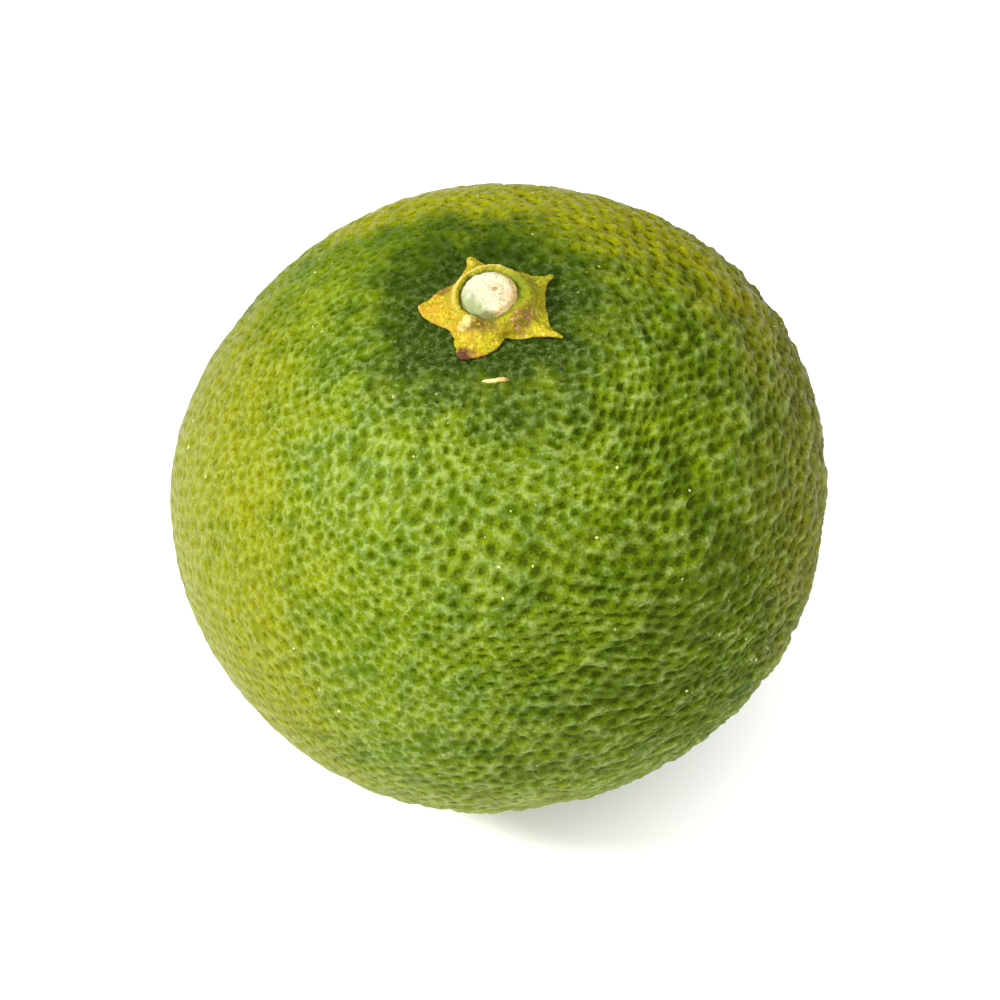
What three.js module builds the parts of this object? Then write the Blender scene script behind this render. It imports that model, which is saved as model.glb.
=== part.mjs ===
// A sudachi: a small green citrus fruit, picked with its calyx and a cut stub of stem.
// Millimetres, +Z up. It stands on its blossom end, and the origin is under its middle, where it stands.
import * as THREE from 'three';

// ---- Driving dimensions ----

const FRUIT_WIDTH = 39.2;        // mean width across the middle
const FRUIT_HEIGHT = 35;         // of the whole dome, before the hollow round the stem is sunk into it
const WIDEST_AT = 0.5;           // height of the widest ring, as a share of the fruit's height
const DOME_POWER = 2.1;          // over 2, the top and the base are a little squarer than an ellipse

const OVAL = { share: 0.027, azimuth: 26 };             // the fruit is a little longer across one way
const RIBS = { count: 5, share: 0.01, azimuth: 32 };    // faint ribs, in line with the sepals

const STEM_HOLLOW = { radius: 5.6, depth: 1.1 };        // the shallow basin that the calyx sits in
const FOOT_RADIUS = 5.2;                                // the flat ring that it stands on
const SCAR = { radius: 1.9, depth: 0.5 };               // the dimple where the flower's style fell off

const PIECE_GAP = 0.15;          // between pieces that touch in the real fruit

const SEPALS = [                 // the star's points, anticlockwise from the +X side
  { azimuth: 30, length: 4.3, width: 17 },
  { azimuth: 106, length: 4.1, width: 15 },
  { azimuth: 175, length: 4.2, width: 20 },
  { azimuth: 243, length: 4.25, width: 21 },
  { azimuth: 328, length: 4.75, width: 16 },
];
const CALYX = { waist: 2.65, thickness: 0.4, ring_radius: 2.4, ring_height: 1.25 };
const SOCKET = { radius: 1.8, floor: 0.4 };             // inside the calyx's ring, where the stem stands
const STEM = { height: 1.1, bevel: 0.12, oval: 0.02, cut_slope: 7 };

const FRUIT_SIDES = 72;
const CALYX_SIDES = 72;
const STEM_SIDES = 32;

// ---- Shape of the fruit ----

const radians = THREE.MathUtils.degToRad;
const half_width = FRUIT_WIDTH / 2;
const middle_height = FRUIT_HEIGHT * WIDEST_AT;

// How far the fruit's outline stands out in one direction, as a factor on its mean radius.
// The ribs and the oval fade out towards both ends.
function swell(azimuth, z) {
  const reach = z > middle_height ? FRUIT_HEIGHT - middle_height : middle_height;
  const share_from_middle = Math.min(Math.abs(z - middle_height) / reach, 1);
  const fade = 1 - share_from_middle ** 2;
  const oval = OVAL.share * Math.cos(2 * (azimuth - radians(OVAL.azimuth)));
  const ribs = RIBS.share * Math.cos(RIBS.count * (azimuth - radians(RIBS.azimuth)));
  return 1 + fade * (oval + ribs);
}

// A half dome's rise at a distance from the axis: 1 in the middle, 0 at the widest ring.
function dome(radius) {
  return (1 - Math.min(radius / half_width, 1) ** DOME_POWER) ** (1 / DOME_POWER);
}

// The top half's height at a distance from the axis, with the hollow round the stem.
function top_height(radius) {
  const hollow = STEM_HOLLOW.depth * Math.exp(-((radius / STEM_HOLLOW.radius) ** 2));
  return middle_height + dome(radius) * (FRUIT_HEIGHT - middle_height) - hollow;
}

// The bottom half's height: flat where it stands, with a dimple at the scar.
function base_height(radius) {
  if (radius < SCAR.radius) {
    return SCAR.depth * (1 - (radius / SCAR.radius) ** 2) ** 1.5;
  }
  return middle_height * Math.max(0, 1 - dome(radius) / dome(FOOT_RADIUS));
}

// From the scar up the side to the middle of the stem hollow, as (radius, height) pairs.
function fruit_profile() {
  const points = [];
  for (const share of [0, 0.35, 0.65, 0.85, 1]) {
    points.push([share * SCAR.radius, base_height(share * SCAR.radius)]);
  }
  const BASE_STEPS = 18;
  const foot_angle = Math.asin(FOOT_RADIUS / half_width);
  for (let i = 0; i <= BASE_STEPS; i += 1) {
    const radius = half_width * Math.sin(foot_angle + (Math.PI / 2 - foot_angle) * i / BASE_STEPS);
    points.push([radius, base_height(radius)]);
  }
  const TOP_STEPS = 24;
  for (let i = 1; i <= TOP_STEPS; i += 1) {
    const radius = half_width * Math.cos(Math.PI / 2 * i / TOP_STEPS);
    points.push([i === TOP_STEPS ? 0 : radius, top_height(radius)]);
  }
  return points.map(([radius, height]) => new THREE.Vector2(radius, height));
}

// Moves every vertex of a geometry, and makes its normals again.
function reshaped(geometry, move) {
  const position = geometry.attributes.position;
  const point = new THREE.Vector3();
  for (let i = 0; i < position.count; i += 1) {
    point.fromBufferAttribute(position, i);
    move(point);
    position.setXYZ(i, point.x, point.y, point.z);
  }
  geometry.computeVertexNormals();
  return geometry;
}

// LatheGeometry turns a profile about Y, so this lays its axis along Z.
function turned(profile, sides) {
  return new THREE.LatheGeometry(profile, sides).rotateX(Math.PI / 2);
}

function fruit_geometry() {
  return reshaped(turned(fruit_profile(), FRUIT_SIDES), (point) => {
    const factor = swell(Math.atan2(point.y, point.x), point.z);
    point.x *= factor;
    point.y *= factor;
  });
}

// ---- Calyx ----

// The star's edge: a round waist, with a narrow pointed hump for each sepal.
function star_radius(azimuth) {
  let radius = CALYX.waist;
  for (const sepal of SEPALS) {
    const turn = azimuth - radians(sepal.azimuth);
    const apart = Math.abs(Math.atan2(Math.sin(turn), Math.cos(turn)));
    const rise = sepal.length - CALYX.waist;
    radius = Math.max(radius, CALYX.waist + rise * Math.exp(-apart / radians(sepal.width)));
  }
  return radius;
}

// A cup with the sepals spread round it. The profile's distances are in millimetres out to the ring's
// foot, and past that one more is the star's edge. Its heights are above the peel.
function calyx_geometry() {
  const foot = CALYX.ring_radius;
  const edge = CALYX.thickness * 0.35;
  const rim = (SOCKET.radius + foot) / 2;
  const profile = [
    [0, 0], [foot / 2, 0], [foot, 0], [foot + 0.5, 0], [foot + 0.9, 0], [foot + 1, edge / 2],
    [foot + 0.93, edge], [foot + 0.6, CALYX.thickness], [foot + 0.25, CALYX.thickness],
    [foot, CALYX.ring_height * 0.6], [rim + 0.15, CALYX.ring_height * 0.93], [rim, CALYX.ring_height],
    [SOCKET.radius + 0.08, CALYX.ring_height * 0.95], [SOCKET.radius, CALYX.ring_height * 0.85],
    [SOCKET.radius, SOCKET.floor], [SOCKET.radius / 2, SOCKET.floor], [0, SOCKET.floor],
  ].map(([distance, height]) => new THREE.Vector2(distance, height));
  return reshaped(turned(profile, CALYX_SIDES), (point) => {
    const distance = Math.hypot(point.x, point.y);
    const azimuth = Math.atan2(point.y, point.x);
    const spread = Math.max(0, distance - foot);
    const radius = Math.min(distance, foot) + spread * (star_radius(azimuth) - foot);
    point.x = radius * Math.cos(azimuth);
    point.y = radius * Math.sin(azimuth);
    point.z += top_height(radius) + PIECE_GAP;
  });
}

// ---- Stem ----

// A short stub that stands in the calyx's socket, a little oval, cut across at a slight slope.
function stem_geometry() {
  const { height, bevel } = STEM;
  const radius = (SOCKET.radius - PIECE_GAP) / (1 + STEM.oval);
  const profile = [
    [0, 0], [radius * 0.6, 0], [radius, 0], [radius, height * 0.5],
    [radius, height - bevel], [radius - bevel, height], [radius * 0.5, height], [0, height],
  ].map(([distance, z]) => new THREE.Vector2(distance, z));
  const foot = top_height(0) + PIECE_GAP + SOCKET.floor + PIECE_GAP;
  const slope = Math.tan(radians(STEM.cut_slope));
  return reshaped(turned(profile, STEM_SIDES), (point) => {
    point.z += (point.z / height) * slope * point.y;
    point.x *= 1 + STEM.oval;
    point.y *= 1 - STEM.oval;
    point.z += foot;
  });
}

// ---- The scene ----

function piece(name, geometry, colour, roughness) {
  const material = new THREE.MeshStandardMaterial({ color: colour, roughness, metalness: 0 });
  const mesh = new THREE.Mesh(geometry, material);
  mesh.name = name;
  return mesh;
}

const sudachi = new THREE.Group();
sudachi.add(piece('fruit', fruit_geometry(), 0x6a8c1e, 0.45));
sudachi.add(piece('calyx', calyx_geometry(), 0xc6b420, 0.7));
sudachi.add(piece('stem_stub', stem_geometry(), 0xe3d9ab, 0.85));

// The ribs leave the fruit's box off its axis by a hair, so the whole fruit moves to put it right.
const box = new THREE.Box3().setFromObject(sudachi);
const middle = box.getCenter(new THREE.Vector3());
sudachi.position.set(-middle.x, -middle.y, -box.min.z);

export default sudachi;
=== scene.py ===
# The looks of a sudachi: its pitted peel, the star of its calyx and the cut stub of its stem.
# Everything is in metres, +Z up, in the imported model's own frame.
import math
import random

import bmesh
import bpy
import numpy as np
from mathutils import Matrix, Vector, noise
from mathutils.kdtree import KDTree


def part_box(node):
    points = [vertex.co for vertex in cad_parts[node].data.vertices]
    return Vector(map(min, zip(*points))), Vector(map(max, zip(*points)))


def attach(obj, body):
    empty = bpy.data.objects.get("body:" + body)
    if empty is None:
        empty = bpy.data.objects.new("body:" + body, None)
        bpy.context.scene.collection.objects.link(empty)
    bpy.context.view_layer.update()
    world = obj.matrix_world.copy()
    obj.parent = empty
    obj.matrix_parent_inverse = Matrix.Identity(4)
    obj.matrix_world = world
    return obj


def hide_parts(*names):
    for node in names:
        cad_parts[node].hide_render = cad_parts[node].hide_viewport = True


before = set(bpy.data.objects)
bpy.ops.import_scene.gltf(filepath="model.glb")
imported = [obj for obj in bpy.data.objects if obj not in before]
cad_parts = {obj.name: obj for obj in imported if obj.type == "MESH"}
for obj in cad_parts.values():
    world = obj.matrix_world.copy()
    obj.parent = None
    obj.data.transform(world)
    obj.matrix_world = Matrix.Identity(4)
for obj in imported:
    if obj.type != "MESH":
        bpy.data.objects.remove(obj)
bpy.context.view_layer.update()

MM = 0.001

# The view: from in front and above, with the stem leaning a little to the left.
VIEW_DOWN = 49.8            # degrees below level
VIEW_LEAN = 3.8             # degrees
VIEW_DISTANCE = 376 * MM
VIEW_WIDTH = 60 * MM        # how wide the view is at the fruit
SENSOR_WIDTH = 36           # the camera's sensor, in its own millimetres

# The floor and the light.
FLOOR_SIZE = 6
FLOOR_GREY = 0.93
ROOM_LIGHT = 0.3            # the strength of the light from all round
LIGHT_AIM = Vector((0, 0, 15 * MM))

# The peel.
PEEL_ROUNDS = 5             # each round halves the squares of the ball that the peel starts as
PEEL_FINE_LEVELS = 2        # and each of these halves them again, once they lie on the fruit
LUMP_DEPTH = 0.16 * MM      # broad dents that the whole peel has
WRINKLE_DEPTH = 0.16 * MM   # and the short swells between its pits

GLAND_SPACING = 0.94 * MM   # between the pits over its oil glands
GLAND_ROOM = 0.866          # each pit's own area, as a share of a square of the spacing
GLAND_REACH = 0.56          # how far a pit reaches, as a share of the spacing
GLAND_SIZES = (0.75, 1.15)  # from the smallest pit to the largest, as factors on that
GLAND_WANDER = 0.2          # how far it strays from an even pattern, as a share of the spacing
GLAND_DEPTH = 0.26 * MM
GLAND_DEPTHS = (0.45, 1)    # from the shallowest pit to the deepest, as factors on that
GLAND_SLIM = 0.56           # on the darker flank the pits are drawn out level, by this factor
GLAND_NEIGHBOURS = 6        # how many of the nearest pits each place on the peel is compared with
BOWL_POWER = 1.6            # the higher, the narrower the floor of a pit
CALM_REACH = 8 * MM         # how far from the axis the pits stay shallow, round the calyx
CREASE_DEPTH = 0.2 * MM     # winding creases, mostly on the darker flank
CREASE_STRETCH = 0.3        # how much finer their waves are upwards than level
FOOT_REACH = 6 * MM         # how far from the axis the peel is pressed flat, where it stands
FOOT_PRESS = 0.2 * MM

SCRATCH_PLACE = (0.2 * MM, -5.3 * MM)
SCRATCH_SIZE = (1.6 * MM, 0.32 * MM, 0.14 * MM)
SCRATCH_CUTS = 11           # how many times each edge of its box is cut
SCRATCH_BEND = 0.02 * MM

STYLE_RADIUS = 1.05 * MM    # of the scar under the fruit
STYLE_SIDES = 32
STYLE_THICKNESS = 0.27 * MM
STYLE_STEPS = (-0.02 * MM, 0.01 * MM, 0.05 * MM)    # how far each ring of it is sunk, inwards

# The calyx. Its star's edge runs anticlockwise from the +X side: azimuths in degrees and distances
# from the axis in millimetres. Its five longest points are the sepals' tips.
STAR_EDGE = {
    3: 3.22, 18: 3.45, 25: 3.85, 30: 4.6, 36: 3.85, 51: 3.4, 63: 3.15, 75: 3.1, 84: 3.25, 90: 3.45,
    96: 3.8, 100: 4.15, 107: 4.3, 112: 3.45, 126: 3.0, 138: 3.05, 146: 3.35, 151: 3.45, 159: 3.5,
    171: 4.25, 179: 4.15, 189: 3.6, 201: 3.05, 210: 2.75, 225: 3.1, 242: 4.3, 252: 3.85, 264: 3.5,
    276: 3.0, 288: 2.45, 300: 2.75, 315: 3.3, 322: 3.85, 327: 5.2, 333: 3.9, 345: 3.42,
}
SEPAL_TIPS = {30: 0.2, 104: 0.2, 174: 0.05, 242: 0.02, 327: 0.25}   # azimuth: how far the tip lifts
TIP_REACH = 0.28            # millimetres to each side of a sepal's middle line, where it arches up
STAR_SIDES = 120
STAR_THICKNESS = 0.22 * MM
RING_FOOT = 2.42            # millimetres from the axis, where the ring ends and the sepals start
RING_LOOPS = (1.56, 1.62, 1.7, 1.8, 1.9, 2.02, 2.16, 2.3)
SEPAL_LOOPS = (0, 0.12, 0.27, 0.45, 0.63, 0.79, 0.91, 1)    # shares of the way from there to the edge

# The star's height above the peel at each distance from the axis, both in millimetres, before its
# sepals are drawn out to their edge.
STAR_PROFILE = {
    1.56: 1.25, 1.62: 1.27, 1.7: 1.3, 1.8: 1.4, 1.9: 1.5, 2.02: 1.5, 2.16: 1.36, 2.3: 1.14,
    2.42: 0.9, 2.54: 0.67, 2.69: 0.5, 2.87: 0.38, 3.21: 0.26, 3.42: 0.17,
}

# Where the ring is uneven: azimuths, and how far each change reaches to both sides, in degrees.
RING_FRONT = (262, 26)      # low, and torn
RING_BACK = (85, 65)        # high, and wide
RING_RIGHT = (5, 40)        # wide
LINING_FRONT = (250, 45)    # high, inside the ring
LINING_RIGHT = (335, 30)    # and so is this

# The calyx's marks, in millimetres to the right of the axis and behind it.
RING_PATCH = (2, 0.6)       # still green
RING_SCAR = (2, -1.5)
RING_TEAR = (-0.4, -1.95)
RING_SPOT = (-1.2, -1.65)   # cream
SEPAL_BURN = (-1.6, -3.6)
SEPAL_SPOT = (-2.45, 1.7)   # brown

# The stub of stem.
STUB_SIDES = 64
STUB_ROWS = 4               # rows of faces up the upper half of its side
STUB_SLOPE = 7              # degrees, of the cut, which faces a little forwards
STUB_OVAL = 0.97            # from front to back, as a factor on its width
CUT_EDGE = 0.05 * MM        # a narrow ring of faces that keeps its edge crisp
CUT_RINGS = 9               # rings of faces across the cut

# Where the cut is uneven, and its marks, given as the calyx's are.
CUT_TEAR = (272, 18)
CUT_BULGE = (222, 26)
CUT_DENT = (308, 24)
TEAR_MARK = (0.1, -1.45)
PITH_MARK = (0.5, 0.2)


# ---- Small tools ----

def select_only(*pieces):
    """Leaves these objects alone selected, with the first one active."""
    bpy.ops.object.select_all(action="DESELECT")
    for piece in pieces:
        piece.select_set(True)
    bpy.context.view_layer.objects.active = pieces[0]


def edit(piece):
    """Opens a piece in edit mode with all of it selected."""
    select_only(piece)
    bpy.ops.object.mode_set(mode="EDIT")
    bpy.ops.mesh.select_all(action="SELECT")


def done():
    """Leaves edit mode."""
    bpy.ops.object.mode_set(mode="OBJECT")


def new_piece(name):
    """Names the primitive that was just added, with its place in its mesh."""
    piece = bpy.context.object
    piece.name = piece.data.name = name
    select_only(piece)
    bpy.ops.object.transform_apply(location=True, rotation=True, scale=True)
    return piece


def finish_with(piece, kind, **settings):
    """Adds a modifier, sets it and applies it."""
    select_only(piece)
    modifier = piece.modifiers.new(kind.lower(), kind)
    for name, value in settings.items():
        setattr(modifier, name, value)
    bpy.ops.object.modifier_apply(modifier=modifier.name)


def subdivide(piece, levels):
    """Rounds a mesh off and makes four faces of each one, this many times over."""
    finish_with(piece, "SUBSURF", levels=levels, render_levels=levels)


def points_of(piece):
    """A mesh's vertices as an array, one row each."""
    found = np.empty(len(piece.data.vertices) * 3)
    piece.data.vertices.foreach_get("co", found)
    return found.reshape(-1, 3)


def normals_of(piece):
    """The directions that its vertices face, one row each."""
    found = np.empty(len(piece.data.vertices) * 3)
    piece.data.vertices.foreach_get("normal", found)
    return found.reshape(-1, 3)


def put_points(piece, points):
    """Moves a mesh's vertices to these places."""
    piece.data.vertices.foreach_set("co", np.ascontiguousarray(points).ravel())
    piece.data.update()


def select_faces(piece, chosen):
    """In edit mode, selects just the faces that the test picks."""
    bpy.ops.mesh.select_all(action="DESELECT")
    mesh = bmesh.from_edit_mesh(piece.data)
    for face in mesh.faces:
        if chosen(face):
            face.select_set(True)
    bmesh.update_edit_mesh(piece.data)


def keep_value(piece, name, values):
    """Stores one number per vertex, for the material to read."""
    attribute = piece.data.attributes.new(name, "FLOAT", "POINT")
    attribute.data.foreach_set("value", np.asarray(values, np.float32))


def smooth_step(low, high, values):
    """0 at low and 1 at high, with a smooth rise between. Low may be the larger of the two."""
    share = np.clip((values - low) / (high - low), 0, 1)
    return share * share * (3 - 2 * share)


def hump(azimuth, middle, width):
    """1 at one azimuth and falling to 0 on both sides of it, all in degrees."""
    apart = (azimuth - middle + 180) % 360 - 180
    return np.exp(-((apart / width) ** 2))


def wave(points, size, seed):
    """Smooth noise from -1 to 1 at each point, with waves of about this size."""
    shift = Vector((seed * 17.3, seed * 5.1, seed * 9.7))
    return np.array([noise.noise(Vector(p) / size + shift) for p in points])


def roughen(piece, depth, size, seed):
    """Fine unevenness, along the surface's own normals."""
    points = points_of(piece)
    points += normals_of(piece) * (wave(points, size, seed) * depth)[:, None]
    put_points(piece, points)


def dress(piece, material):
    """Shades a shaped piece smooth and gives it its material."""
    select_only(piece)
    bpy.ops.object.shade_smooth()
    piece.data.materials.append(material)
    return piece


# ---- The view, the floor and the light ----

def place_camera():
    """A long lens, aimed at the middle of the fruit."""
    low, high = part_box("fruit")
    aim = Vector((0, 0, (low.z + high.z) / 2))
    down = math.radians(VIEW_DOWN)
    back = Vector((0, -math.cos(down), math.sin(down)))
    bpy.ops.object.camera_add(
        location=aim + back * VIEW_DISTANCE, rotation=(math.pi / 2 - down, 0, 0)
    )
    camera = bpy.context.object
    camera.rotation_euler.rotate_axis("Z", -math.radians(VIEW_LEAN))
    camera.data.sensor_width = SENSOR_WIDTH
    camera.data.lens = SENSOR_WIDTH * VIEW_DISTANCE / VIEW_WIDTH
    camera.data.clip_start = 1 * MM
    bpy.context.scene.camera = camera


def light(name, place, size, power, colour=(1, 1, 1)):
    """A square soft light that looks at the fruit."""
    turn = (LIGHT_AIM - Vector(place)).to_track_quat("-Z", "Y").to_euler()
    bpy.ops.object.light_add(type="AREA", location=place, rotation=turn)
    lamp = bpy.context.object
    lamp.name = name
    lamp.data.size = size
    lamp.data.energy = power
    lamp.data.color = colour


def set_stage():
    """A white floor in a white room, lit from the left, from above and from the front."""
    bpy.ops.mesh.primitive_plane_add(size=FLOOR_SIZE)
    floor = bpy.context.object
    floor.name = "floor"
    paper = Finish("white_paper")
    paper.fill(
        {
            "Base Color": (FLOOR_GREY, FLOOR_GREY, FLOOR_GREY, 1),
            "Roughness": 0.9,
            "Specular IOR Level": 0.1,
        }
    )
    floor.data.materials.append(paper.material)

    world = bpy.data.worlds.new("white_room")
    world.use_nodes = True
    walls = world.node_tree.nodes["Background"]
    walls.inputs["Color"].default_value = (1, 1, 1, 1)
    walls.inputs["Strength"].default_value = ROOM_LIGHT
    bpy.context.scene.world = world

    light("window", place=(-0.62, -0.1, 0.6), size=0.22, power=13, colour=(1, 0.99, 0.97))
    light("ceiling", place=(0.4, -0.1, 1), size=1, power=10)
    light("front", place=(0.15, -0.8, 0.7), size=0.45, power=7.5)
    bpy.context.scene.view_settings.view_transform = "Standard"


# ---- Materials ----

class Value:
    """An output in a material's nodes. Sums on it add Math nodes."""

    def __init__(self, finish, socket):
        self.finish = finish
        self.socket = socket

    def math(self, operation, *values):
        inputs = dict(enumerate(values))
        return self.finish.add("ShaderNodeMath", {"operation": operation}, inputs)

    def __add__(self, other):
        return self.math("ADD", self, other)

    __radd__ = __add__

    def __sub__(self, other):
        return self.math("SUBTRACT", self, other)

    def __rsub__(self, other):
        return self.math("SUBTRACT", other, self)

    def __mul__(self, other):
        return self.math("MULTIPLY", self, other)

    def __truediv__(self, other):
        return self.math("DIVIDE", self, other)

    def __pow__(self, other):
        return self.math("POWER", self, other)

    def at_least(self, low):
        return self.math("MAXIMUM", self, low)

    def step(self, low, high):
        """0 below low, 1 above high, and a smooth rise between."""
        return self.finish.add(
            "ShaderNodeMapRange",
            {"interpolation_type": "SMOOTHSTEP"},
            {0: self, 1: low, 2: high},
        )


class Finish:
    """A material as it is made: its nodes, and short ways to add more."""

    def __init__(self, name):
        self.material = bpy.data.materials.new(name)
        self.material.use_nodes = True
        self.tree = self.material.node_tree
        self.shader = self.tree.nodes["Principled BSDF"]
        place = self.add("ShaderNodeTexCoord", output="Object")
        self.place = self.vector("SCALE", {0: place, 3: 1 / MM})  # in millimetres

    def feed(self, socket, value):
        """Links a value to a socket, or sets the socket to a plain number or colour."""
        if isinstance(value, Value):
            self.tree.links.new(value.socket, socket)
        else:
            socket.default_value = value

    def add(self, kind, settings=None, inputs=None, output=0):
        """Adds a node, sets it, fills its inputs and gives one of its outputs."""
        node = self.tree.nodes.new(kind)
        for name, value in (settings or {}).items():
            setattr(node, name, value)
        for name, value in (inputs or {}).items():
            self.feed(node.inputs[name], value)
        return Value(self, node.outputs[output])

    def fill(self, inputs):
        """Fills the shader's own inputs."""
        for name, value in inputs.items():
            self.feed(self.shader.inputs[name], value)

    def vector(self, operation, inputs):
        return self.add("ShaderNodeVectorMath", {"operation": operation}, inputs)

    def axes(self):
        """The place's three coordinates, in millimetres."""
        split = self.add("ShaderNodeSeparateXYZ", inputs={0: self.place})
        return [Value(self, socket) for socket in split.socket.node.outputs]

    def kept(self, name):
        """A number that the mesh carries for each vertex."""
        return self.add("ShaderNodeAttribute", {"attribute_name": name}, output="Fac")

    def noise(self, size, detail=2, roughness=0.5, place=None, shift=0):
        """Noise from 0 to 1, with features of about this many millimetres."""
        moved = self.vector("ADD", {0: place or self.place, 1: (shift, -shift, 0.5 * shift)})
        return self.add(
            "ShaderNodeTexNoise",
            inputs={"Vector": moved, "Scale": 1 / size, "Detail": detail, "Roughness": roughness},
        )

    def dots(self, size):
        """The distance to the nearest of many scattered points, in cells of this size."""
        inputs = {"Vector": self.place, "Scale": 1 / size}
        return self.add("ShaderNodeTexVoronoi", inputs=inputs, output="Distance")

    def mix(self, share, first, second):
        """A colour between two."""
        inputs = {0: share, 6: first, 7: second}
        return self.add("ShaderNodeMix", {"data_type": "RGBA"}, inputs, output=2)

    def brightened(self, colour, factor):
        """A colour made brighter, or darker with a factor below 1."""
        return self.vector("SCALE", {0: colour, 3: factor})

    def streaks(self, x, y, from_axis):
        """Noise from -0.5 to 0.5 that runs in streaks away from the axis."""
        outward = self.add(
            "ShaderNodeCombineXYZ",
            inputs={0: x / from_axis * 5, 1: y / from_axis * 5, 2: from_axis * 0.12},
        )
        return self.noise(0.7, 3, 0.6, place=outward) - 0.5

    def patch(self, x, y, middle, reach, wander, stretch=1, turn=0):
        """1 inside an oval seen from above, its edge moved about by wander, and 0 outside."""
        cosine = math.cos(math.radians(turn))
        sine = math.sin(math.radians(turn))
        dx = x - middle[0]
        dy = y - middle[1]
        along = dx * cosine + dy * sine
        aside = (dy * cosine - dx * sine) / stretch
        return ((along * along + aside * aside) ** 0.5 + wander).step(reach, reach * 0.3)

    def bump(self, height, depth):
        """A height map from 0 to 1, depth deep in millimetres, as a normal."""
        return self.add("ShaderNodeBump", inputs={"Height": height, "Distance": depth * MM})


def channel(level):
    """One channel of a screen colour, 0 to 255, as the renderer's own number."""
    share = level / 255
    return ((share + 0.055) / 1.055) ** 2.4 if level > 10 else share / 12.92


def paint(red, green, blue):
    """A screen colour as the renderer's own."""
    return (channel(red), channel(green), channel(blue), 1)


# ---- The peel's finish ----

DEEP_GREEN = paint(62, 83, 1)
LEAF_GREEN = paint(89, 106, 2)
FLANK_YELLOW = paint(102, 107, 1)
SHOULDER_YELLOW = paint(124, 122, 1)
# Painted shade, darkening the right in front.
PAINTED_SHADE_GREEN = paint(40, 51, 1)
RIND_BROWN = paint(104, 94, 20)
UNDER_GREEN = paint(116, 124, 4)
HOLLOW_GREEN = paint(26, 44, 1)
BASE_BROWN = paint(92, 76, 20)
# Partly the peel's waxy coat, partly painted highlight and reflection.
WAX_AND_SHEEN_WHITE = paint(170, 184, 116)
# Painted glints.
GLINT_WHITE = paint(196, 194, 140)


def peel_tint(peel, x, y, z, patchy):
    """The peel's broad colours and painted shade, and how much each place is of the yellow-green left
    flank.
    """
    from_axis = (x * x + y * y) ** 0.5
    broad = peel.noise(8, shift=3) - 0.5

    # Yellow-green on the left flank and over the back shoulder, painted shade that darkens the right
    # in front, brown in flecks down the right, and paler again underneath on the left.
    flank = (x * -0.078 - (z - 22) * 0.02 + broad * 1.2 + patchy * 1.1).step(0.35, 1.5)
    shoulder = (y * 0.15 + x * 0.06 - 0.35 + broad * 1.5 + patchy).step(0.4, 1.3) * z.step(22, 30)
    painted_shade = (x * 0.062 - y * 0.077 + (z - 17) * 0.013 + broad + patchy * 0.4).step(1.5, 2.2)
    rind = (x * 0.08 + patchy * 0.6).step(1.05, 1.5)
    under = z.step(16, 8) * x.step(11, -3) * (1 - flank * 0.6)
    skin = peel.mix((patchy + 0.5).step(0.25, 0.75), DEEP_GREEN, LEAF_GREEN)
    skin = peel.mix(flank, skin, FLANK_YELLOW)
    skin = peel.mix(shoulder * 0.7, skin, SHOULDER_YELLOW)
    skin = peel.mix(painted_shade * 0.6, skin, PAINTED_SHADE_GREEN)
    skin = peel.mix(rind * 0.45, skin, RIND_BROWN)
    skin = peel.mix(under * 0.5, skin, UNDER_GREEN)

    # Deep green in the hollow round the calyx, streaked outwards.
    rays = peel.streaks(x, y, from_axis)
    hollow = (from_axis + patchy * 6 + rays * 8).step(10.5, 4) * z.step(24, 29)
    skin = peel.mix(hollow * 0.95, skin, HOLLOW_GREEN)

    # Brown round the scar where the flower was.
    base = (from_axis + patchy * 1.5).step(2.6, 1) * z.step(3, 1.5)
    return peel.mix(base * 0.6, skin, BASE_BROWN), flank


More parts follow.
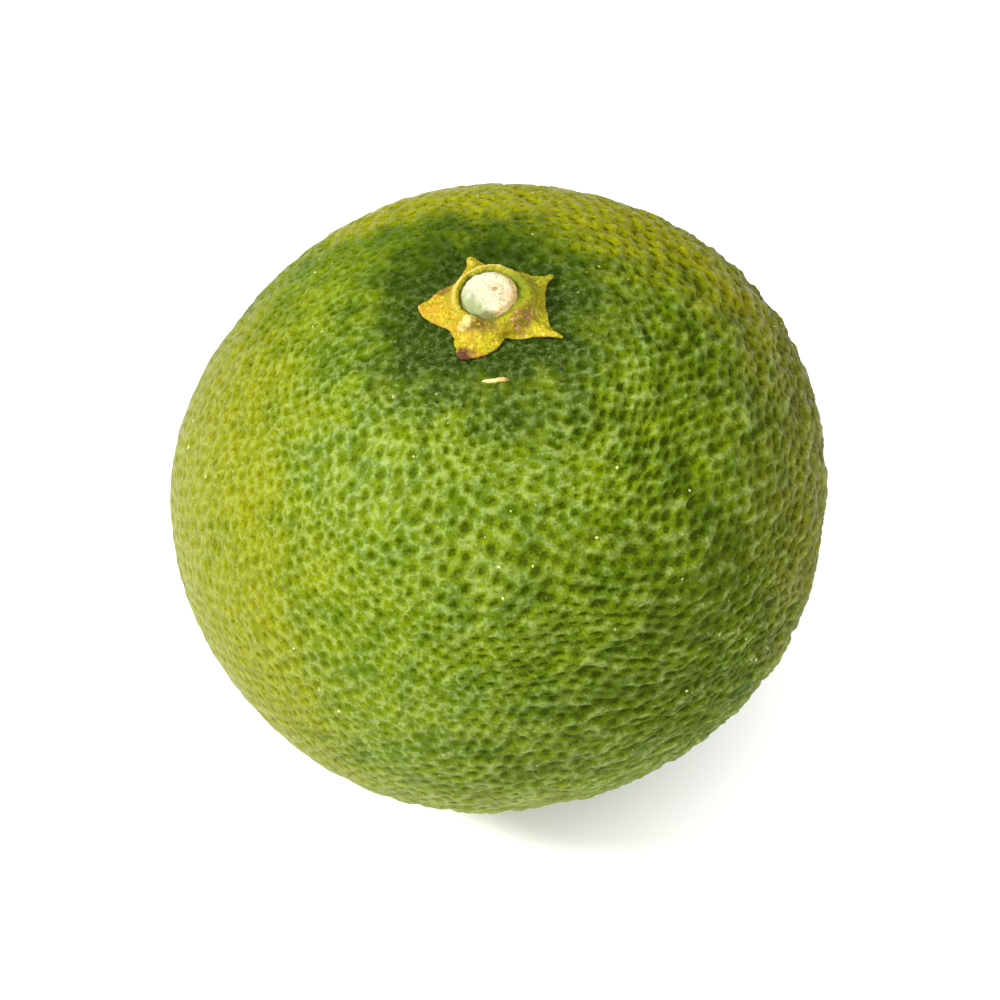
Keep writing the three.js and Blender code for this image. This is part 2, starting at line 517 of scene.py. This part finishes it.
def peel_finish():
    peel = Finish("citrus_peel")
    pit = peel.kept("pit")
    near = peel.kept("near")
    crease = peel.kept("crease")
    calm = peel.kept("calm")
    eye = near.step(0.5, 0.2) * peel.kept("strong") * (1 - calm * 0.6)
    ridge = near.step(0.5, 0.8) * near.step(1.15, 0.9) * (1 - calm * 0.6) * (1 - crease * 0.5)
    x, y, z = peel.axes()
    patchy = peel.noise(2.2, 3, 0.6, shift=11) - 0.5
    mottle = peel.noise(0.45, 3, 0.65, shift=5)
    grain = peel.noise(0.16, 2, 0.6, shift=17)
    skin, flank = peel_tint(peel, x, y, z, patchy)

    # Painted shade, darker in the pits and creases, with dark dots in the pits' middles that are
    # partly the glands' own colour and partly painted shade, and fine pores between them.
    pore = peel.dots(0.4).step(0.4, 0.14) * (0.3 + calm * 0.2)
    shade = 1.3 - pit * 0.08 - eye * (0.54 - flank * 0.2) - pore
    shade = shade - grain.step(0.4, 0.62) * 0.3 - mottle.step(0.58, 0.42) * 0.16 - crease * 0.22
    skin = peel.brightened(skin, shade.at_least(0.4))

    # Painted highlight: a pale net on the ridges between the pits, and a thin pale haze, stronger low
    # down, that is partly the peel's waxy coat and partly painted reflection, both strongest in front.
    net = ridge * (0.1 + mottle.step(0.4, 0.6) * 0.9) * (0.2 + x.step(-2, 12) * 0.04)
    bloom_and_sheen = mottle.step(0.56, 0.72) * 0.08 + calm * grain.step(0.55, 0.7) * 0.12 + z.step(15, 6) * 0.1
    front = 0.25 + y.step(8, -2) * 0.75
    wax_and_sheen = (net + bloom_and_sheen) * (1 - flank * 0.5) * front
    skin = peel.mix(wax_and_sheen, skin, WAX_AND_SHEEN_WHITE)

    # A few painted glints, small and pale.
    painted_glint = (peel.dots(1.3) + (grain - 0.5) * 0.25).step(0.08, 0.03)
    painted_glint = painted_glint * peel.noise(4, shift=21).step(0.42, 0.55) * (1 - calm * 0.8)
    skin = peel.mix(painted_glint * 0.75, skin, GLINT_WHITE)

    peel.fill(
        {
            "Base Color": skin,
            "Roughness": 0.3 + mottle * 0.2 + pit * 0.15,
            "Normal": peel.bump(mottle * 0.6 + grain * 0.5 - eye * 0.8, 0.08),
            "Specular IOR Level": 0.03,
            "Specular Tint": (1, 1, 0.7, 1),
            "Coat Weight": (ridge + 0.1) * front * 0.14,
            "Coat Roughness": 0.4,
            "Coat IOR": 1.4,
        }
    )
    return peel.material


# ---- The calyx's finish ----

SEPAL_YELLOW = paint(148, 142, 6)
SEPAL_GOLD = paint(170, 142, 20)
SEPAL_GREEN = paint(112, 124, 6)
SEPAL_EDGE = paint(150, 104, 44)
SEPAL_FLUSH = paint(178, 108, 40)
# Pale spots, partly the sepals' own colour and partly painted highlight.
SEPAL_PALE_AND_HIGHLIGHT = paint(208, 196, 84)
SEPAL_OLIVE = paint(104, 92, 8)
CREST_OLIVE = paint(138, 122, 16)
# Painted highlight on the ring's crest.
CREST_HIGHLIGHT_CREAM = paint(200, 180, 96)
# Painted shade in the groove inside the ring.
GROOVE_SHADE_LEFT = paint(54, 66, 16)
GROOVE_SHADE_RIGHT = paint(96, 108, 16)
PATCH_GREEN = paint(84, 104, 8)
TEAR_BROWN = paint(78, 54, 22)
SCAR_BROWN = paint(104, 58, 42)
SCAR_TAN = paint(186, 140, 96)
SPOT_BROWN = paint(104, 62, 34)
SPOT_CREAM = paint(206, 190, 122)
BURNT_BROWN = paint(62, 24, 26)
SPECK_BROWN = paint(96, 60, 38)
GRAIN_BROWN = paint(92, 66, 10)


def calyx_finish():
    dry = Finish("dry_sepal")
    x, y, _ = dry.axes()
    out = dry.kept("out")
    patchy = dry.noise(0.9, 3) - 0.5
    mottle = dry.noise(0.3, 3, 0.65, shift=6)
    grain = dry.noise(0.09, 2, 0.6, shift=2)
    fine = dry.noise(0.2, 3, 0.65, shift=41)

    # Yellow sepals, greener towards the ring and on the right, with tan edges and an orange flush.
    skin = dry.mix((patchy + mottle * 0.6).step(0.2, 0.6), SEPAL_YELLOW, SEPAL_GOLD)
    green = (x * 0.4 + y * 0.35 - out * 0.9 + patchy * 2).step(-2.5, -1.2)
    skin = dry.mix(green * 0.65, skin, SEPAL_GREEN)
    skin = dry.mix((out + patchy * 0.6).step(3.22, 3.4) * 0.35, skin, SEPAL_EDGE)
    flush = (dry.noise(0.7, 3, 0.6, shift=27) - x * 0.03).step(0.52, 0.68) * out.step(2.1, 2.5)
    skin = dry.mix(flush * 0.4, skin, SEPAL_FLUSH)
    # Pale mottled spots, partly the sepals' own colour and partly painted highlight.
    skin = dry.mix(mottle.step(0.52, 0.68) * 0.5, skin, SEPAL_PALE_AND_HIGHLIGHT)
    skin = dry.mix(fine.step(0.5, 0.62) * 0.5, skin, SEPAL_OLIVE)

    # The ring: olive on its crest, with a painted highlight in cream at the back on the left, painted
    # shade in the groove inside it that is greener on the right, and a green patch beside that.
    crest = (out + patchy * 0.15).step(1.82, 1.96) * (out + patchy * 0.3).step(2.4, 2.1)
    crest = crest * (y * 0.5 - x * 0.35 + mottle * 1.2).step(-0.6, 1.2)
    skin = dry.mix(crest * 0.6, skin, CREST_OLIVE)
    crest_highlight = (out + patchy * 0.2).step(1.9, 1.98) * (out + patchy * 0.2).step(2.2, 2.1)
    crest_highlight = crest_highlight * (x * -0.25 + y * 0.35 + mottle).step(0.4, 1.3)
    skin = dry.mix(crest_highlight * 0.65, skin, CREST_HIGHLIGHT_CREAM)
    groove = dry.mix(x.step(0.2, 1.6), GROOVE_SHADE_LEFT, GROOVE_SHADE_RIGHT)
    skin = dry.mix((out + patchy * 0.1).step(1.86, 1.72) * 0.8, skin, groove)
    fresh = dry.patch(x, y, RING_PATCH, 1.3, patchy * 1.2)
    skin = dry.mix(fresh * 0.7, skin, PATCH_GREEN)

    # Blemishes: the ring's torn front and the scar beside it, two spots, a burnt tip, and specks.
    wander = (dry.noise(0.6, 3, 0.6, shift=13) - 0.5) * 1.2 + (mottle - 0.5) * 0.5
    torn = dry.patch(x, y, RING_TEAR, 1.6, wander, stretch=0.35, turn=-8) * mottle.step(0.3, 0.5)
    scar = dry.patch(x, y, RING_SCAR, 1.35, wander, stretch=0.5, turn=50) * mottle.step(0.35, 0.55)
    brown = dry.patch(x, y, SEPAL_SPOT, 0.55, wander)
    burnt = dry.patch(x, y, SEPAL_BURN, 1, wander)
    cream = dry.patch(x, y, RING_SPOT, 0.6, wander, stretch=0.5)
    speck = dry.dots(0.5).step(0.2, 0.1) * dry.noise(1.4, shift=31).step(0.45, 0.6)
    skin = dry.mix(torn * 0.85, skin, TEAR_BROWN)
    skin = dry.mix(scar * 0.85, skin, SCAR_BROWN)
    skin = dry.mix(scar * mottle.step(0.5, 0.62) * 0.75, skin, SCAR_TAN)
    skin = dry.mix(brown * 0.8, skin, SPOT_BROWN)
    skin = dry.mix(burnt * 0.95, skin, BURNT_BROWN)
    skin = dry.mix(cream * 0.7, skin, SPOT_CREAM)
    skin = dry.mix(speck * 0.7, skin, SPECK_BROWN)
    skin = dry.mix(grain.step(0.4, 0.65) * 0.36, skin, GRAIN_BROWN)
    dry.fill(
        {
            "Base Color": skin,
            "Roughness": 0.45 + mottle * 0.3,
            "Normal": dry.bump(mottle * 0.6 + grain * 0.4, 0.05),
            "Specular IOR Level": 0.12,
            "Subsurface Weight": 0.08,
            "Subsurface Scale": 0.3 * MM,
        }
    )
    return dry.material


# ---- The stub's finish ----

WOOD_CREAM = paint(178, 178, 150)
WOOD_TAN = paint(166, 148, 108)
DAMP_GREEN = paint(120, 130, 80)
PORE_BROWN = paint(112, 82, 44)
PITH_OCHRE = paint(126, 92, 20)
BARK_GREEN = paint(108, 116, 72)
BARK_TAN = paint(152, 124, 74)
TEAR_OLIVE = paint(92, 86, 30)
WOOD_GREY = paint(120, 112, 80)


def stem_finish():
    wood = Finish("cut_stem")
    x, y, _ = wood.axes()
    patchy = wood.noise(0.7, 3) - 0.5
    mottle = wood.noise(0.22, 3, 0.65, shift=4)
    grain = wood.noise(0.07, 2, 0.6, shift=9)
    from_middle = (x * x + y * y) ** 0.5

    # Cream, browner to the right and greener to the left, with dark pores and a fleck of pith.
    skin = wood.mix((x * 0.35 + patchy * 1.2).step(-0.2, 0.8), WOOD_CREAM, WOOD_TAN)
    damp = (x * -0.65 - y * 0.5 + patchy * 1.4).step(0.2, 1)
    skin = wood.mix(damp * 0.9, skin, DAMP_GREEN)
    pore = wood.dots(0.22).step(0.3, 0.16) * (x * 0.3 + mottle).step(0.3, 0.8)
    skin = wood.mix(pore * 0.55, skin, PORE_BROWN)
    pith = wood.patch(x, y, PITH_MARK, 0.24, (mottle - 0.5) * 0.2)
    skin = wood.mix(pith * 0.8, skin, PITH_OCHRE)

    # The bark shows as a rim, grey-green on the left and tan on the right, torn in front.
    bark = (from_middle + patchy * 0.35 - y * 0.04).step(1.38, 1.56)
    rim = wood.mix(x.step(-0.4, 0.8), BARK_GREEN, BARK_TAN)
    skin = wood.mix(bark * 0.85, skin, rim)
    torn = wood.patch(x, y, TEAR_MARK, 0.8, (mottle - 0.5) * 0.8, stretch=0.4)
    skin = wood.mix(torn * 0.75, skin, TEAR_OLIVE)
    skin = wood.mix(grain.step(0.45, 0.7) * 0.25, skin, WOOD_GREY)
    wood.fill(
        {
            "Base Color": skin,
            "Roughness": 0.7 + mottle * 0.2,
            "Normal": wood.bump(mottle * 0.5 + grain * 0.5 - pore * 0.5, 0.06),
            "Specular IOR Level": 0.25,
        }
    )
    return wood.material


# ---- The finishes of the two marks on the peel ----

DEAD_CREAM = paint(176, 170, 104)
DEAD_TAN = paint(176, 146, 84)
DEAD_BROWN = paint(110, 78, 28)
CORK_DARK = paint(96, 70, 36)
CORK_TAN = paint(134, 110, 62)
CORK_BLACK = paint(60, 42, 22)


def scratch_finish():
    """Cream, then tan, then brown at its right end."""
    dead = Finish("dead_skin")
    x, _, _ = dead.axes()
    mottle = dead.noise(0.2, 3, 0.6)
    skin = dead.mix((x + mottle * 0.8).step(0.5, 1), DEAD_CREAM, DEAD_TAN)
    skin = dead.mix((x - 0.2 + mottle * 0.3).step(0.62, 0.8) * 0.8, skin, DEAD_BROWN)
    dead.fill(
        {
            "Base Color": skin,
            "Roughness": 0.5 + mottle * 0.2,
            "Normal": dead.bump(mottle, 0.05),
            "Specular IOR Level": 0.3,
        }
    )
    return dead.material


def style_finish():
    cork = Finish("dry_cork")
    patchy = cork.noise(0.5, 3, 0.6)
    grain = cork.noise(0.1, 3, 0.65, shift=8)
    skin = cork.mix(patchy.step(0.35, 0.65), CORK_DARK, CORK_TAN)
    skin = cork.mix(grain.step(0.45, 0.7) * 0.5, skin, CORK_BLACK)
    cork.fill(
        {
            "Base Color": skin,
            "Roughness": 0.7 + grain * 0.2,
            "Normal": cork.bump(grain, 0.05),
            "Specular IOR Level": 0.2,
        }
    )
    return cork.material


# ---- The peel ----

def peel_ball():
    """A ball of even squares, laid on the fruit and then made fine."""
    low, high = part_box("fruit")
    middle = (low + high) / 2
    bpy.ops.mesh.primitive_cube_add(size=high.x - low.x, location=middle)
    ball = new_piece("peel")
    edit(ball)
    for _ in range(PEEL_ROUNDS):
        bpy.ops.mesh.subdivide(number_cuts=1)
        bpy.ops.transform.tosphere(value=1)
    bpy.ops.mesh.normals_make_consistent(inside=False)
    bpy.ops.uv.smart_project(angle_limit=math.radians(66), island_margin=0.004)
    done()
    ball.data.uv_layers.active.name = "OFBake"
    finish_with(
        ball,
        "SHRINKWRAP",
        target=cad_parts["fruit"],
        wrap_method="PROJECT",
        use_positive_direction=True,
        use_negative_direction=True,
    )
    finish_with(ball, "SMOOTH", factor=0.5, iterations=2)
    subdivide(ball, PEEL_FINE_LEVELS)
    return ball


def even_spread(spacing, radius, wander, seed):
    """Points spread evenly over a ball, each moved at random by up to a share of their spacing."""
    count = round(4 * math.pi * radius**2 / (GLAND_ROOM * spacing**2))
    turn = math.pi * (3 - math.sqrt(5))
    chance = random.Random(seed)
    spots = []
    for i in range(count):
        up = 1 - (2 * i + 1) / count
        level = math.sqrt(1 - up * up)
        spot = Vector((level * math.cos(i * turn), level * math.sin(i * turn), up)) * radius
        spot += Vector([chance.uniform(-wander, wander) * spacing for _ in range(3)])
        spots.append(spot.normalized() * radius)
    return spots


def find_glands(radius):
    """The pits' places on a ball, each one's reach and each one's depth from 0 to 1."""
    chance = random.Random(5)
    spots = even_spread(GLAND_SPACING, radius, GLAND_WANDER, seed=1)
    sizes = np.array([chance.uniform(*GLAND_SIZES) for _ in spots])
    depths = sizes * np.array([chance.uniform(*GLAND_DEPTHS) for _ in spots])
    return spots, sizes * GLAND_REACH * GLAND_SPACING, depths


def drift(points, size, seed):
    """Smooth noise along each of the three axes."""
    return np.stack([wave(points, size, seed + axis) for axis in range(3)], 1)


def lay_pits(on_ball, radius, slim):
    """For each place on the ball: its depth in a pit, and how far it is from the nearest pit's middle
    as a share of the pit's reach."""
    spots, reaches, depths = find_glands(radius)
    tree = KDTree(len(spots))
    for i, spot in enumerate(spots):
        tree.insert(spot, i)
    tree.balance()
    places = on_ball + drift(on_ball, 9 * MM, seed=21) * 2 * MM
    places += drift(on_ball, 0.7 * MM, seed=24) * 0.1 * MM
    places *= radius / np.linalg.norm(places, axis=1)[:, None]
    nearest = np.array(
        [
            [index for _, index, _ in tree.find_n(Vector(place), GLAND_NEIGHBOURS)]
            for place in places
        ]
    )

    # A pit is an oval that lies level and is drawn out by slim. The deepest one at a place counts.
    away = np.array(spots)[nearest] - places[:, None]
    level = np.stack([-places[:, 1], places[:, 0], 0 * places[:, 0]], 1)
    level /= np.maximum(np.linalg.norm(level, axis=1), MM / 1000)[:, None]
    along = (away * level[:, None]).sum(2)
    apart = np.sqrt((away**2).sum(2) - along**2 * (1 - slim[:, None] ** 2))
    share = apart / reaches[nearest]
    bowls = np.clip(1 - share**2, 0, 1) ** BOWL_POWER * depths[nearest]
    return bowls.max(axis=1), share.min(axis=1)


def lay_creases(points, from_axis, radius):
    """Winding creases from 0 to 1 that run level."""
    azimuth = np.arctan2(points[:, 1], points[:, 0])
    level = np.stack([azimuth * radius * CREASE_STRETCH, from_axis * 0.5, points[:, 2]], 1)
    return smooth_step(0.3, 0, np.abs(wave(level, 1.5 * MM, seed=6)))


def sink_glands(peel):
    """Sinks a pit over each oil gland and wrinkles the peel, and keeps what its material needs."""
    low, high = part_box("fruit")
    middle = np.array((low + high) / 2)
    radius = (high.x - low.x) / 2
    points = points_of(peel)
    x, y, z = points.T
    outward = points - middle
    on_ball = outward / np.linalg.norm(outward, axis=1)[:, None] * radius

    # The pits are shallower round the calyx and the scar, and drawn out on the right.
    from_axis = np.hypot(x, y) + 1.5 * MM * wave(points, 4 * MM, seed=3)
    calm = smooth_step(1.25 * CALM_REACH, 0.5 * CALM_REACH, from_axis) * (z > middle[2])
    calm += smooth_step(2.2 * STYLE_RADIUS, STYLE_RADIUS, from_axis) * (z < middle[2])
    drawn = x - 0.4 * y + 3 * MM * wave(points, 5 * MM, seed=9)
    drawn = smooth_step(0, 14 * MM, drawn) * (1 - calm)
    pit, near = lay_pits(on_ball, radius, 1 - (1 - GLAND_SLIM) * drawn)

    # Their strength changes from place to place and fades to the left.
    strong = 0.75 + 0.35 * smooth_step(-0.3, 0.3, wave(points, 7 * MM, seed=17))
    strong *= 0.6 + 0.4 * smooth_step(-17 * MM, -7 * MM, x + 0.4 * y)
    pit *= strong + 0.5 * drawn

    # Creases where the pits are drawn out and low on the right, and swells all over.
    crease = lay_creases(points, from_axis, radius)
    crease *= np.maximum(drawn, smooth_step(-4 * MM, 4 * MM, x + middle[2] - z))
    lumps = 0.5 + 0.35 * wave(points, 5.5 * MM, seed=1) + 0.15 * wave(points, 2.6 * MM, seed=2)
    wrinkles = 0.5 + 0.5 * wave(points, 1.3 * MM, seed=4)
    uneven = np.clip(lumps, 0, 1) * LUMP_DEPTH + np.clip(wrinkles, 0, 1) * WRINKLE_DEPTH

    sink = pit * GLAND_DEPTH * (1 - 0.6 * calm)
    sink += uneven * (1 - 0.7 * calm)
    sink += crease * CREASE_DEPTH
    put_points(peel, points - normals_of(peel) * sink[:, None])
    keep_value(peel, "pit", pit * (1 - 0.5 * calm))
    keep_value(peel, "near", near)
    keep_value(peel, "strong", strong)
    keep_value(peel, "crease", crease)
    keep_value(peel, "calm", calm)


def rest_foot(peel):
    """Presses the peel flat where it stands."""
    points = points_of(peel)
    from_axis = np.hypot(points[:, 0], points[:, 1])
    pressed = smooth_step(1.4 * FOOT_REACH, 0.8 * FOOT_REACH, from_axis) * (points[:, 2] < 2 * MM)
    points[:, 2] = np.maximum(points[:, 2] - pressed * FOOT_PRESS, 0)
    put_points(peel, points)


def make_peel():
    peel = peel_ball()
    sink_glands(peel)
    rest_foot(peel)
    return dress(peel, peel_finish())


# ---- The calyx ----

def peel_height(peel, x, y):
    """The height of the peel's top under one place."""
    _, place, _, _ = peel.ray_cast(Vector((x, y, 1)), Vector((0, 0, -1)))
    return place.z


def star_sheet(axis):
    """A flat sheet of faces, drawn out in loops from a circle round the stem."""
    loops = [*RING_LOOPS, *(RING_FOOT + share for share in SEPAL_LOOPS)]
    bpy.ops.mesh.primitive_circle_add(vertices=STAR_SIDES, radius=loops[0] * MM, location=axis)
    star = new_piece("calyx_star")
    edit(star)
    for inner, outer in zip(loops, loops[1:]):
        bpy.ops.mesh.extrude_region_move()
        bpy.ops.transform.resize(value=(outer / inner, outer / inner, 1), center_override=axis)
    bpy.ops.mesh.select_all(action="SELECT")
    bpy.ops.mesh.normals_make_consistent(inside=False)
    done()
    return star


def shape_star(star, peel, axis):
    """Draws the sepals out to their points, raises the ring and lays it all on the peel."""
    points = points_of(star)
    x = points[:, 0] - axis.x
    y = points[:, 1] - axis.y
    distance = np.hypot(x, y) / MM
    azimuth = np.degrees(np.arctan2(y, x)) % 360
    edge = np.interp(azimuth, list(STAR_EDGE), list(STAR_EDGE.values()), period=360)
    spread = np.clip(distance - RING_FOOT, 0, 1)
    radius = np.where(spread > 0, RING_FOOT + spread * (edge - RING_FOOT), distance)

    # The ring, low in front, high and wide at the back and wide on the right, and its lining.
    height = np.interp(distance, list(STAR_PROFILE), list(STAR_PROFILE.values()))
    in_ring = smooth_step(2.6, 2.2, distance)
    front = hump(azimuth, *RING_FRONT) * in_ring
    back = hump(azimuth, *RING_BACK) * in_ring * smooth_step(1.6, 1.85, distance)
    right = smooth_step(1.65, 1.95, distance) * smooth_step(3.4, 2.1, distance)
    right *= hump(azimuth, *RING_RIGHT)
    lining = hump(azimuth, *LINING_FRONT) + 0.8 * hump(azimuth, *LINING_RIGHT)
    lining *= smooth_step(1.85, 1.65, distance)
    height += 0.15 * back - 0.3 * front + 0.3 * lining
    radius += 0.22 * back + 0.3 * right

    # Each sepal arches along its middle and lifts its tip. All of it is uneven, most where it is torn.
    for tip, lift in SEPAL_TIPS.items():
        along_tip = hump(azimuth, tip, np.degrees(TIP_REACH / radius))
        height += along_tip * (0.08 * np.minimum(spread * 4, 1) + lift * spread**2)
    flat = np.stack([x, y, 0 * x], 1)
    height += 0.1 * wave(flat, 0.8 * MM, seed=7) * np.minimum(1, spread * 3 + 0.4)
    height += 0.16 * wave(flat, 0.35 * MM, seed=19) * front * smooth_step(1.65, 1.9, distance)

    points[:, 0] = axis.x + radius * MM * np.cos(np.radians(azimuth))
    points[:, 1] = axis.y + radius * MM * np.sin(np.radians(azimuth))
    base = [peel_height(peel, px, py) for px, py in points[:, :2]]
    points[:, 2] = np.array(base) + height * MM
    put_points(star, points)
    keep_value(star, "out", distance)


def make_calyx(peel):
    """The star: a sheet that is shaped, given its thickness and roughened."""
    low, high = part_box("stem_stub")
    axis = Vector(((low.x + high.x) / 2, (low.y + high.y) / 2, high.z))
    star = star_sheet(axis)
    shape_star(star, peel, axis)
    finish_with(star, "SMOOTH", factor=0.4, iterations=1)
    finish_with(star, "SOLIDIFY", thickness=STAR_THICKNESS, offset=-1)
    subdivide(star, 2)
    roughen(star, depth=0.08 * MM, size=0.45 * MM, seed=8)
    roughen(star, depth=0.04 * MM, size=0.16 * MM, seed=9)
    return dress(star, calyx_finish())


# ---- The stub of stem ----

def make_stub():
    """A short cylinder, its upper half drawn up in rows and its cut inset in rings."""
    low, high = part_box("stem_stub")
    radius = (high.x - low.x) / 2
    slope = math.tan(math.radians(STUB_SLOPE))
    top = high.z - slope * radius
    bpy.ops.mesh.primitive_cylinder_add(
        vertices=STUB_SIDES,
        radius=radius,
        depth=(top - low.z) / 2,
        location=((low.x + high.x) / 2, (low.y + high.y) / 2, low.z + (top - low.z) / 4),
    )
    stub = new_piece("stem_cut")
    edit(stub)
    select_faces(stub, lambda face: face.normal.z > 0.9)
    rise = (top - low.z) / 2 / STUB_ROWS
    for _ in range(STUB_ROWS):
        bpy.ops.mesh.extrude_region_move(TRANSFORM_OT_translate={"value": (0, 0, rise)})
    bpy.ops.mesh.inset(thickness=CUT_EDGE, use_even_offset=False)
    for _ in range(CUT_RINGS):
        bpy.ops.mesh.inset(thickness=radius / (CUT_RINGS + 1.5), use_even_offset=False)
    done()
    shape_cut(stub, low, high, top)
    subdivide(stub, 2)
    roughen(stub, depth=0.05 * MM, size=0.3 * MM, seed=12)
    roughen(stub, depth=0.025 * MM, size=0.1 * MM, seed=13)
    return dress(stub, stem_finish())


def shape_cut(stub, low, high, top):
    """Slopes the cut, rounds its edge, tears it a little in front and makes it uneven. The side
    narrows upwards, least on the right."""
    points = points_of(stub)
    middle = (low + high) / 2
    x = points[:, 0] - middle.x
    y = points[:, 1] - middle.y
    radius = (high.x - low.x) / 2
    out = np.hypot(x, y) / radius
    azimuth = np.degrees(np.arctan2(y, x)) % 360
    up = (points[:, 2] - low.z) / (top - low.z)
    across = wave(np.stack([x, y, 0 * x], 1), 0.5 * MM, seed=10)
    torn = hump(azimuth, *CUT_TEAR) * smooth_step(0.65, 1, out)
    points[:, 2] += up * math.tan(math.radians(STUB_SLOPE)) * y
    points[:, 2] -= up**4 * (0.1 * smooth_step(0.86, 1, out) + 0.3 * torn + 0.05 * across + 0.05) * MM
    shrink = 1 - 0.05 * up**2 * (1 + wave(points, 0.7 * MM, seed=11)) - 0.02 * up**4
    shrink += (1 - shrink) * 0.8 * smooth_step(-0.3, 0.9, x / radius)
    shrink += up**2 * (0.11 * hump(azimuth, *CUT_BULGE) - 0.05 * hump(azimuth, *CUT_DENT))
    points[:, 0] = middle.x + x * shrink
    points[:, 1] = middle.y + y * shrink * STUB_OVAL
    put_points(stub, points)


# ---- A dry scratch on the peel ----

def make_scratch(peel):
    """A pale sliver of dead skin that lies on the peel in front of the calyx."""
    length, breadth, thickness = SCRATCH_SIZE
    bpy.ops.mesh.primitive_cube_add(size=1, location=(0, 0, 0), scale=(length, breadth, thickness))
    scratch = new_piece("dry_scratch")
    edit(scratch)
    bpy.ops.mesh.subdivide(number_cuts=SCRATCH_CUTS)
    bpy.ops.mesh.normals_make_consistent(inside=False)
    done()
    points = points_of(scratch)
    along = points[:, 0] / length * 2
    taper = np.sqrt(np.clip(1 - np.abs(along) ** 2.4, 0.02, 1)) * (0.8 + 0.2 * along)
    points[:, 0] += SCRATCH_PLACE[0]
    points[:, 1] = SCRATCH_PLACE[1] + (points[:, 1] * taper + SCRATCH_BEND * np.sin(3 * along))
    under = [peel_height(peel, x, y) for x, y in points[:, :2]]
    points[:, 2] = points[:, 2] * taper + np.array(under) + 0.3 * thickness
    put_points(scratch, points)
    subdivide(scratch, 1)
    roughen(scratch, depth=0.03 * MM, size=0.15 * MM, seed=14)
    return dress(scratch, scratch_finish())


# ---- The scar where the flower was ----

def make_style_scar(peel):
    """A corky disc in the dimple under the fruit, hung from the peel there."""
    _, place, _, _ = peel.ray_cast(Vector((0, 0, -1)), Vector((0, 0, 1)))
    bpy.ops.mesh.primitive_cylinder_add(
        vertices=STYLE_SIDES,
        radius=STYLE_RADIUS,
        depth=STYLE_THICKNESS,
        location=place - Vector((0, 0, 0.4 * STYLE_THICKNESS)),
    )
    scar = new_piece("style_scar")
    edit(scar)
    select_faces(scar, lambda face: face.normal.z < -0.9)
    for sunk in STYLE_STEPS:
        bpy.ops.mesh.inset(thickness=STYLE_RADIUS / (len(STYLE_STEPS) + 1), depth=-sunk)
    done()
    subdivide(scar, 3)
    roughen(scar, depth=0.1 * MM, size=0.5 * MM, seed=15)
    roughen(scar, depth=0.04 * MM, size=0.15 * MM, seed=16)
    return dress(scar, style_finish())


# ---- Everything, on its body ----

place_camera()
set_stage()

peel = make_peel()
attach(peel, "root")
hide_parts("fruit")

scratch = make_scratch(peel)
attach(scratch, "root")

style_scar = make_style_scar(peel)
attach(style_scar, "root")

calyx = make_calyx(peel)
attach(calyx, "root")
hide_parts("calyx")

stub = make_stub()
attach(stub, "root")
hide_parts("stem_stub")
